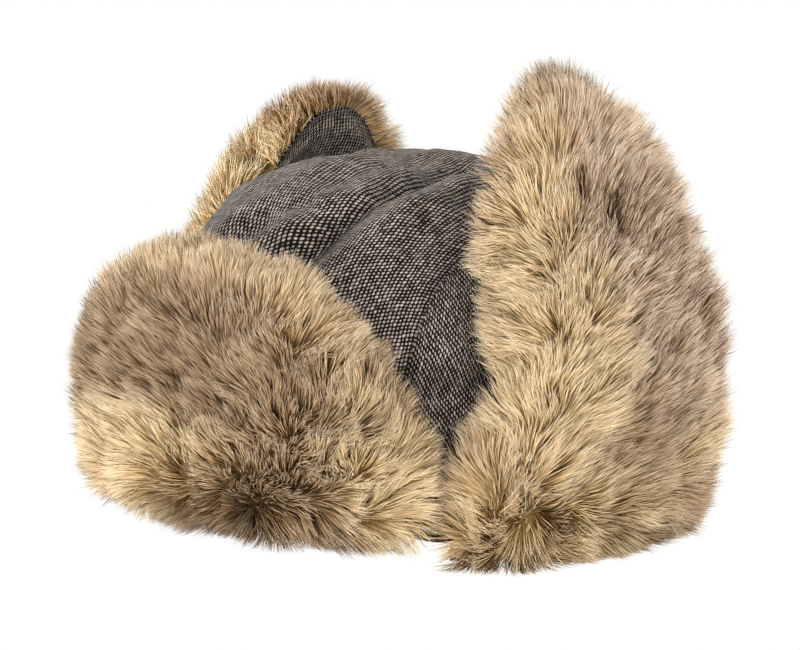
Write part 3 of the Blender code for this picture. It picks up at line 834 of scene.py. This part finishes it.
def patches(kind, u, v, p):
    """How cream, brown and lilac the pile is at a place. What is left is tan."""
    w = waves(p, 0.050, 31, 2) * 0.5
    fine = waves(p, 0.016, 32, 2)
    cream, brown, lilac = np.zeros_like(u), np.zeros_like(u), np.zeros_like(u)
    if kind == "front":
        brown = np.maximum(spot(u, v, 0.04, 0.64, 0.80, 0.24, 0.30), spot(u, v, 0.52, 0.24, 0.22, 0.14, 0.4))
        cream = np.maximum(spot(u, v, -0.10, 0.26, 0.46, 0.19, 0.35), spot(u, v, 0.95, 0.42, 0.32, 0.50, 0.4))
        cream = np.maximum(cream, 0.35 * spot(u, v, 0.0, 0.98, 1.0, 0.10, 0.5))
        lilac = 0.25 * brown
    elif kind in ("left", "right"):
        cream = np.maximum(spot(u, v, -0.66, 0.50, 0.32, 0.46, 0.40), spot(u, v, -0.55, 0.08, 0.62, 0.09, 0.5))
        cream = np.maximum(cream, spot(u, v, 0.55, 0.20, 0.38, 0.06, 0.5))
        brown = np.maximum(0.70 * spot(u, v, 0.05, 0.25, 0.50, 0.08, 0.6), 0.65 * spot(u, v, 0.30, 0.10, 0.6, 0.05, 0.6))
        lilac = np.maximum(spot(u, v, 0.30, 0.66, 0.75, 0.40, 0.35), 0.6 * spot(u, v, 0.7, 0.34, 0.5, 0.12, 0.5))
        if kind == "right":
            cream = np.maximum(cream, 0.8 * smooth((np.abs(u) - 0.55) / 0.3))
            brown = 0.45 * spot(u, v, 0.1, 0.92, 0.8, 0.16, 0.5)
    else:
        brown = spot(u, v, 0.1, 0.5, 0.7, 0.35, 0.4)
        cream = spot(u, v, -0.8, 0.4, 0.4, 0.4, 0.5)
        lilac = 0.5 * brown
    brown = np.clip(brown + 0.34 * w + 0.34 * fine - 0.14, 0, 1)
    cream = np.clip(cream * (1.0 - 0.3 * np.maximum(fine, 0)) - 0.3 * w, 0, 1)
    lilac = np.clip(lilac + 0.15 * w, 0, 1)
    total = np.maximum(cream + brown + lilac, 1.0)
    return cream / total, brown / total, lilac / total


def pile_colour(kind, u, v, p, t, tone_and_painted_light):
    """Colour of a hair at a share t of its length, from root to tip."""
    cream, brown, lilac = (x[..., None] for x in patches(kind, u, v, p))
    rest = 1 - cream - brown - lilac
    t = np.asarray(t)[..., None]
    out = np.zeros(p.shape)
    # the roots at the edges are pale
    edge = smooth((np.maximum(np.abs(u), np.abs(2 * v - 1)) - 0.90) / 0.08)[..., None]
    for share, (root, middle, tip) in ((cream, CREAM), (brown, BROWN), (lilac, LILAC), (rest, TAN)):
        low = lerp(root * (1 - edge) + np.array(CREAM[1]) * edge, middle, smooth((t - 0.1) / 0.6))
        out = out + share * lerp(low, tip, smooth((t - 0.60) / 0.40))
    # the colour is scaled by the last argument: random tone together with painted light and shade
    return np.minimum(out * tone_and_painted_light[..., None], 0.92)


def flow(kind, u, v):
    """Which way the pile lies, as shares along the rim and upwards, with a size of up to 1."""
    low = 1 - smooth(v / 0.16)
    if kind == "front":
        # up at the top, round to the sides lower down, and down at the fold
        turn = 2.1 * (1 - smooth((v - 0.02) / 0.40)) * (2 * smooth((u + 0.25) / 0.9) - 1)
        fu = -0.28 + 1.0 * np.sign(u) * np.abs(u) ** 2.2 + 0.95 * np.sin(turn)
        fv = 0.90 * np.cos(turn)
    elif kind in ("left", "right"):
        fu = 0.06 + 0.95 * np.sign(u + 0.2) * np.abs(u + 0.2) ** 1.8 + low * 0.75 * smooth((u + 0.98) / 0.35)
        fv = 0.90 * (1 - low) - 0.10 * low
    else:
        fu = 0.9 * np.sign(u) * np.abs(u) ** 2.2
        fv = 0.85 * (1 - low) - 0.5 * low
    size = np.sqrt(fu**2 + fv**2)
    cap = np.maximum(size, 1.0)
    return fu / cap, fv / cap


def sample_pad(u, v, front, count, r):
    """Random places on the pad's outer face, spread evenly by area, with their normal and tangents."""
    a, b = front[:-1, :-1], front[:-1, 1:]
    c, d = front[1:, 1:], front[1:, :-1]
    normal = np.cross(b - a, d - a) + np.cross(d - c, b - c)
    area = np.linalg.norm(normal, axis=-1).ravel() / 2
    pick = r.choice(len(area), count, p=area / area.sum())
    i, j = np.unravel_index(pick, a.shape[:2])
    s, t = r.random(count)[:, None], r.random(count)[:, None]
    at = lambda g: (g[i, j] * (1 - s.reshape(s.shape if g.ndim == 3 else -1)) + g[i, j + 1] * s.reshape(s.shape if g.ndim == 3 else -1)) * (
        1 - t.reshape(t.shape if g.ndim == 3 else -1)
    ) + (g[i + 1, j] * (1 - s.reshape(s.shape if g.ndim == 3 else -1)) + g[i + 1, j + 1] * s.reshape(s.shape if g.ndim == 3 else -1)) * t.reshape(
        t.shape if g.ndim == 3 else -1
    )
    # smooth normals come from the grid's own tangents
    du = np.gradient(front, axis=1)
    dv = np.gradient(front, axis=0)
    n = unit(np.cross(du, dv))
    return at(front), unit(at(n)), unit(at(unit(du))), unit(at(unit(dv))), at(u), at(v)


LENGTHS = {"front": (0.0135, 0.0180), "left": (0.0150, 0.0205), "right": (0.0140, 0.0190), "neck": (0.0130, 0.0175)}


def strands(name, kind, count, seed, body, width=0.00034):
    """Pile as thin tapering blades in clumps."""
    r = np.random.default_rng(seed)
    u, v, front, rear = PADS[kind]
    p, n, tu, tv, su, sv = sample_pad(u, v, front, count, r)
    outward = front.mean(axis=(0, 1)) - rear.mean(axis=(0, 1))
    if np.mean(n @ outward) < 0:
        n = -n
    # some hairs grow from the edge and lean past it
    ring = ring_of(*u.shape)
    ro, ri = front.reshape(-1, 3)[ring], rear.reshape(-1, 3)[ring]
    away = np.cross(np.gradient(rear, axis=1), np.gradient(rear, axis=0))
    away = unit(away).reshape(-1, 3)[ring]
    if np.mean(away @ outward) < 0:
        away = -away
    run = np.roll(ro, -1, 0) - np.roll(ro, 1, 0)
    beside = unit(np.cross(unit(run), away))
    if np.mean(np.sum(beside * (ro - ro.mean(0)), axis=1)) < 0:
        beside = -beside
    # fewer beside the fold, where the next flap comes close
    step = np.linalg.norm(run, axis=1) * smooth((v.reshape(-1)[ring] - 0.30) / 0.25)
    extra = int(count * 0.09)
    pick = r.choice(len(ring), extra, p=step / step.sum())
    share, ahead = r.random(extra)[:, None], r.uniform(-0.5, 0.5, extra)[:, None]
    p[-extra:] = ro[pick] * share + ri[pick] * (1 - share) + run[pick] * 0.5 * ahead
    n[-extra:] = unit(beside[pick] * 1.0 + away[pick] * (share * 1.3 - 0.45))
    su[-extra:], sv[-extra:] = u.reshape(-1)[ring][pick], v.reshape(-1)[ring][pick]
    # clumps: every hair leans to the tip of the nearest clump hair
    r_len = LENGTHS[kind]
    clumps = max(count // 5, 50)
    tree = kdtree.KDTree(clumps)
    for k in range(clumps):
        tree.insert(p[k], k)
    tree.balance()
    mine = np.array([tree.find(q)[1] for q in p])
    fu, fv = flow(kind, su + 0.20 * waves(p, 0.030, 46, 2), sv + 0.11 * waves(p, 0.030, 47, 2))
    # where the pile has no clear lie, it lies in small cowlicks
    free = np.clip(1 - np.sqrt(fu**2 + fv**2), 0, 1) + 0.20 * (1 - smooth((sv - 0.15) / 0.2))
    fu, fv = fu + 0.9 * free * waves(p, 0.028, 44, 2), fv + 0.9 * free * waves(p, 0.028, 45, 2)
    swirl = 0.50 * waves(p, 0.045, 41, 2) + 0.40 * waves(p, 0.016, 42, 1)
    cs, sn = np.cos(swirl), np.sin(swirl)
    fu, fv = fu * cs - fv * sn, fu * sn + fv * cs
    lie = tu * fu[:, None] + tv * fv[:, None]
    jitter = r.normal(size=(count, 3))
    clump_jitter = r.normal(size=(clumps, 3))
    edge = np.maximum(np.abs(su), np.abs(2 * sv - 1))
    stand = 0.85 - 0.35 * smooth((edge - 0.75) / 0.25)
    start = unit(n * 1.0 + lie * 0.55 + jitter * 0.14)
    end = unit(n * stand[:, None] + lie * 1.0 + jitter * 0.16)
    long = r.uniform(r_len[0], r_len[1], count) * (1 + 0.12 * waves(p, 0.02, 43, 1))
    c_len = long[:clumps] * r.uniform(0.95, 1.12, clumps)
    c_start = unit(n[:clumps] + lie[:clumps] * 0.55 + clump_jitter * 0.12)
    c_end = unit(n[:clumps] * stand[:clumps, None] + lie[:clumps] * 1.0 + clump_jitter * 0.20)
    c_tip = p[:clumps] + c_len[:, None] * (c_start + c_end) * 0.5
    own_tip = p + long[:, None] * (start + end) * 0.5
    pull = np.clip(r.normal(0.60, 0.18, count), 0.1, 0.97)
    stray = r.random(count) < 0.06
    pull[stray] = 0.05
    shift = (c_tip[mine] - own_tip) * pull[:, None]
    # hairs don't reach across the hat to a far clump
    far = np.linalg.norm(c_tip[mine] - own_tip, axis=1)
    shift *= np.where(far > 0.005, 0.005 / np.maximum(far, 1e-9), 1.0)[:, None]
    ts = np.array([0.0, 0.30, 0.58, 0.82, 1.0])
    wide = np.array([0.75, 1.0, 0.85, 0.5, 0.0])
    lines = []
    for t in ts:
        q = p + long[:, None] * (start * t + (end - start) * t * t * 0.5) + shift * t**1.6
        lines.append(q)
    lines = np.stack(lines, axis=1)
    # nothing goes through the floor: low hair is pressed flat on it
    z, low = lines[..., 2], 0.005 if kind == "front" else 0.0
    lines[..., 2] = low + np.where(z - low < 0.004, 0.0006 + 0.0034 * np.exp((z - low - 0.004) / 0.0034), z - low)
    # keep within the room that the pile has
    lo, hi = LIMITS
    lines = np.clip(lines, lo, hi)
    along = unit(lines[:, -1] - lines[:, 0])
    turn = n + r.normal(size=(count, 3)) * 0.45
    side = unit(np.cross(along, turn))
    w = width * r.uniform(0.65, 1.35, count)
    co = []
    for k in range(4):
        half = (w * wide[k] / 2)[:, None]
        co.append(lines[:, k] - side * half)
        co.append(lines[:, k] + side * half)
    co.append(lines[:, 4])
    co = np.stack(co, axis=1)
    tone_and_painted_light = np.clip(r.normal(1.0, 0.10, count), 0.66, 1.35)
    # painted light: the right ear flap's hair is lightened up to 1.45 times towards its top, where it stands in shade
    if kind == "right":
        tone_and_painted_light *= 1 + 0.45 * smooth((sv - 0.45) / 0.4)
    dark = r.random(count) < 0.07
    tone_and_painted_light[dark] *= 0.72
    cols = []
    for k, t in enumerate(ts):
        # painted shade: each hair is darkened towards its root, to about 0.6 at most places and less low on the flap
        # and in cowlicks, fading out by half its length
        deep = np.minimum(0.60 + 0.26 * (1 - smooth((sv - 0.1) / 0.2)) + 0.45 * free, 1.15)
        shade = deep + (1 - deep) * smooth(t / 0.5)
        c = pile_colour(kind, su, sv, p, np.full(count, t), tone_and_painted_light * shade)
        cols += [c, c] if k < 4 else [c]
    cols = np.stack(cols, axis=1)
    base = (np.arange(count) * 9)[:, None]
    quads = np.concatenate([base + np.array([[2 * k, 2 * k + 1, 2 * k + 3, 2 * k + 2]]) for k in range(3)], axis=1).reshape(-1, 4)
    tris = (base + np.array([[6, 7, 8]])).reshape(-1, 3)
    corners = np.concatenate([quads.ravel(), tris.ravel()])
    begins = np.concatenate([np.arange(len(quads)) * 4, len(quads) * 4 + np.arange(len(tris)) * 3])
    me = bpy.data.meshes.new(name)
    me.vertices.add(count * 9)
    me.vertices.foreach_set("co", co.astype(np.float32).ravel())
    me.loops.add(len(corners))
    me.loops.foreach_set("vertex_index", corners.astype(np.int32))
    me.polygons.add(len(begins))
    me.polygons.foreach_set("loop_start", begins.astype(np.int32))
    me.update(calc_edges=True)
    me.shade_smooth()
    attribute = me.color_attributes.new("pile", "FLOAT_COLOR", "POINT")
    rgba = np.ones((count * 9, 4), np.float32)
    rgba[:, :3] = cols.reshape(-1, 3)
    attribute.data.foreach_set("color", rgba.ravel())
    # one small cell of the texture for each hair
    cells = int(math.ceil(math.sqrt(count)))
    cx, cy = (np.arange(count) % cells), (np.arange(count) // cells)
    uvs = np.zeros((count, 9, 2))
    for k, t in enumerate(ts[:4]):
        for m in (0, 1):
            uvs[:, 2 * k + m, 0] = (cx + 0.25 + 0.5 * m) / cells
            uvs[:, 2 * k + m, 1] = (cy + 0.12 + 0.76 * t) / cells
    uvs[:, 8, 0], uvs[:, 8, 1] = (cx + 0.5) / cells, (cy + 0.88) / cells
    layer = me.uv_layers.new(name="OFBake")
    layer.data.foreach_set("uv", uvs.reshape(-1, 2)[corners].astype(np.float32).ravel())
    obj = bpy.data.objects.new(name, me)
    bpy.context.scene.collection.objects.link(obj)
    # light falls on the pile as on one soft surface
    normals = unit(0.75 * n + 0.25 * unit(np.cross(side, along)) * np.sign(np.sum(np.cross(side, along) * n, axis=1))[:, None])
    normals = np.repeat(normals[:, None], 9, axis=1).reshape(-1, 3)
    me.normals_split_custom_set_from_vertices([tuple(x) for x in normals])
    me.materials.append(pile_material(f"{name}_hair"))
    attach(obj, body)
    return obj


LIMITS = (
    np.array(START[0]) - 0.0085 - 0.025 * np.array(START[1] - START[0]),
    np.array(START[1]) + 0.0085 + 0.025 * np.array(START[1] - START[0]),
)
LIMITS[0][2] = 0.0004

PADS = {}
for kind in ("front", "left", "right", "neck"):
    PADS[kind] = pad_grid(kind)

DENSITY = 1.0
COUNTS = {"front": (25000, 2), "left": (28000, 2), "right": (22000, 2), "neck": (15000, 1)}

for kind, body in BODY.items():
    u, v, front, rear = PADS[kind]
    # pile body
    name = body if kind in ("front", "neck") else body
    pad = slab(f"{body}_pile_bed", front, rear, rim=0.0)
    # painted shade: the bed is coloured like the hair a third of the way up, darkened to about 0.62 of it, give or take
    # 0.12 at random
    shade = waves(front, 0.006, 51, 2)
    colour = pile_colour(kind, u, v, front, np.full(u.shape, 0.34), 0.62 + 0.12 * shade)
    ring = ring_of(*u.shape)
    flat = colour.reshape(-1, 3)
    pale = np.array(TAN[1]) * 0.8
    all_colour = np.concatenate([flat, flat * 0 + pale, flat[ring] * 0.3 + pale * 0.7])
    attribute = pad.data.color_attributes.new("pile", "FLOAT_COLOR", "POINT")
    rgba = np.ones((len(all_colour), 4), np.float32)
    rgba[:, :3] = all_colour
    attribute.data.foreach_set("color", rgba.ravel())
    use(pad, pile_material(f"{body}_bed_hair", 0.9))
    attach(pad, body)
    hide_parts(f"{body}_fur")
    # wadding between the tweed and the pile
    pu, pv = np.meshgrid(dense(30), (dense(30) + 1) / 2)
    inset = INSETS[kind] + 0.012
    shape = round_shape(pu, pv, 6, 6)
    inner = flap_point(kind, pu, pv, np.full(pu.shape, GAP[kind] + 0.0030), inset)
    outer = flap_point(kind, pu, pv, GAP[kind] + 0.0034 + 0.0028 * shape, inset)
    stuffing = slab(f"{body}_wadding_pad", outer, inner, rim=0.2)
    use(stuffing, cloth_material(f"{body}_felt", srgb(222, 218, 208), srgb(196, 190, 178), 500, 1.0, 0.0, 0.0006))
    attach(stuffing, body)
    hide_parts(f"{body}_padding")
    # tweed on the side against the crown
    pu, pv = np.meshgrid(dense(84, 1.25), (dense(96, 1.25) + 1) / 2)
    edge = np.maximum(np.abs(pu), np.abs(2 * pv - 1))
    tuck = 0.0052 * smooth((edge - 0.84) / 0.16)
    edge_in = INSETS[kind] - 0.0012
    rest = flap_point(kind, pu, pv, np.full(pu.shape, GAP[kind]), edge_in)
    ripple = 0.0005 * waves(rest, 0.040, 61, 2)
    face = flap_point(kind, pu, pv, GAP[kind] + 0.0004 + tuck + ripple * (1 - smooth((edge - 0.8) / 0.2)), edge_in)
    back = flap_point(kind, pu, pv, GAP[kind] + 0.0016 + tuck + ripple * (1 - smooth((edge - 0.8) / 0.2)), edge_in)
    shell = slab(f"{body}_tweed_cloth", face, back, arc_uv(rest))
    # painted shade: the flap's tweed is darkened by up to a quarter towards its tucked-in edges
    paint_shade_on_cloth(shell, 1 - 0.25 * smooth((edge - 0.9) / 0.1))
    use(shell, tweed_flap)
    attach(shell, body)
    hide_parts(f"{body}_shell")
    cut(shell, face)
    count, pieces = COUNTS[kind]
    for part in range(pieces):
        strands(f"{body}_pile_{part + 1}", kind, int(count * DENSITY), 100 + 10 * part + len(kind) * 7, body)

# cloth that joins each flap to the rim
for kind, body, hinge, out in (
    ("front", "front_flap", (0.0, -0.097, 0.013), (0, -1, 0)),
    ("left", "left_ear_flap", (0.088, 0.0, 0.003), (1, 0, 0)),
    ("right", "right_ear_flap", (-0.088, 0.0, 0.003), (-1, 0, 0)),
    ("neck", "neck_flap", (0.0, 0.099, 0.003), (0, 1, 0)),
):
    pu = np.linspace(-0.92, 0.92, 60)
    low = flap_point(kind, pu, np.full(60, 0.012), np.full(60, GAP[kind] + 0.0012), 0.0118) - SHIFT
    theta = np.arctan2(low[:, 1] / CROWN_B, low[:, 0] / CROWN_A)
    rim = rim_point(theta) + np.array([0, 0, -0.0024])
    rim -= dome_gradient(rim_point(theta)) * np.array([1, 1, 0]) * 0.0014
    steps = np.linspace(0, 1, 9)[:, None, None]
    strip = rim[None] * (1 - steps) + low[None] * steps
    strip[..., 2] -= 0.0016 * np.sin(np.pi * steps[..., 0])
    strip += SHIFT
    tangent = unit(np.gradient(strip, axis=1))
    across = unit(np.gradient(strip, axis=0))
    n = unit(np.cross(tangent, across))
    # the rim is curved, so each length of the strip bends from its own bit of rim to its own bit of flap
    cloth_at = arc_uv(strip)
    ends = np.linspace(0, 59, 7 if kind == "front" else 5).astype(int)
    for k, (i, j) in enumerate(zip(ends[:-1], ends[1:])):
        part = strip[:, i : j + 1]
        fold = slab(f"{body}_fold_cloth_{k + 1}", part, part + n[:, i : j + 1] * 0.0008, cloth_at[:, i : j + 1])
        paint_shade_on_cloth(fold, np.ones(part.shape[:2]))
        use(fold, tweed_flap)
        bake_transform(fold)
        cut(fold, part)

# ---------------------------------------------------------------- floor, light and camera
floor = mesh_of("floor", [(-14, -14, 0), (14, -14, 0), (14, 14, 0), (-14, 14, 0)], [(0, 1, 2, 3)], False)
paper = Nodes("floor_paper")
grain = paper.noise(60.0, 3.0)
paper.link(paper.mix(grain.outputs["Fac"], (0.86, 0.86, 0.86), (0.88, 0.88, 0.88)), paper.shader.inputs["Base Color"])
paper.shader.inputs["Roughness"].default_value = 0.9
use(floor, paper.mat)
# the floor lights the hat from below, and a lowered flap can be seen past it
floor.visible_camera = False


def area_light(name, where, towards, size, power, colour=(1, 1, 1)):
    data = bpy.data.lights.new(name, "AREA")
    data.shape, data.size, data.size_y = "RECTANGLE", size[0], size[1]
    data.energy, data.color = power, colour
    obj = bpy.data.objects.new(name, data)
    obj.location = where
    obj.rotation_mode = "QUATERNION"
    obj.rotation_quaternion = (Vector(towards) - Vector(where)).to_track_quat("-Z", "Y")
    bpy.context.scene.collection.objects.link(obj)


AZ, EL, ROLL = math.radians(44), math.radians(12), math.radians(-1.5)
back = Vector((math.sin(AZ) * math.cos(EL), -math.cos(AZ) * math.cos(EL), math.sin(EL)))
right = Vector((math.cos(AZ), math.sin(AZ), 0))
up = back.cross(right)
aim = Vector((0, 0.0030, 0.08))

front_dir = Vector((math.sin(AZ), -math.cos(AZ), 0))
area_light("fill", aim + front_dir * 1.2 + right * 1.3 + Vector((0, 0, 0.45)), aim, (1.2, 1.0), 15)
area_light("low", aim + front_dir * 1.2 - right * 1.3 + Vector((0, 0, 0.0)), aim - Vector((0, 0, 0.06)), (1.0, 0.5), 20)
area_light("back", aim - front_dir * 1.2 - right * 0.2 + Vector((0, 0, 1.0)), aim, (1.2, 1.0), 12)
sun = bpy.data.objects.new("key", bpy.data.lights.new("key", "SUN"))
sun.data.energy = 1.40
sun.data.angle = math.radians(28)
sun.rotation_mode = "QUATERNION"
sun.rotation_quaternion = (-(front_dir * 0.95 - right * 0.60 + Vector((0, 0, 0.80)))).to_track_quat("-Z", "Y")
bpy.context.scene.collection.objects.link(sun)

world = bpy.data.worlds.new("studio")
bpy.context.scene.world = world
world.use_nodes = True
world.node_tree.nodes["Background"].inputs[0].default_value = (1, 1, 1, 1)
world.node_tree.nodes["Background"].inputs[1].default_value = 1.0

camera = bpy.data.objects.new("camera", bpy.data.cameras.new("camera"))
bpy.context.scene.collection.objects.link(camera)
bpy.context.scene.camera = camera
camera.data.sensor_width = 36.0
camera.data.lens = 3700 / 800 * 36.0
camera.data.shift_x = -0.0275
camera.data.shift_y = -0.0125
camera.data.clip_start, camera.data.clip_end = 0.05, 20
r2 = right * math.cos(ROLL) - up * math.sin(ROLL)
u2 = right * math.sin(ROLL) + up * math.cos(ROLL)
place = aim + back * 1.60
camera.matrix_world = Matrix(((r2.x, u2.x, back.x, place.x), (r2.y, u2.y, back.y, place.y), (r2.z, u2.z, back.z, place.z), (0, 0, 0, 1)))

bpy.context.scene.view_settings.view_transform = "Standard"
bpy.context.scene.view_settings.look = "None"
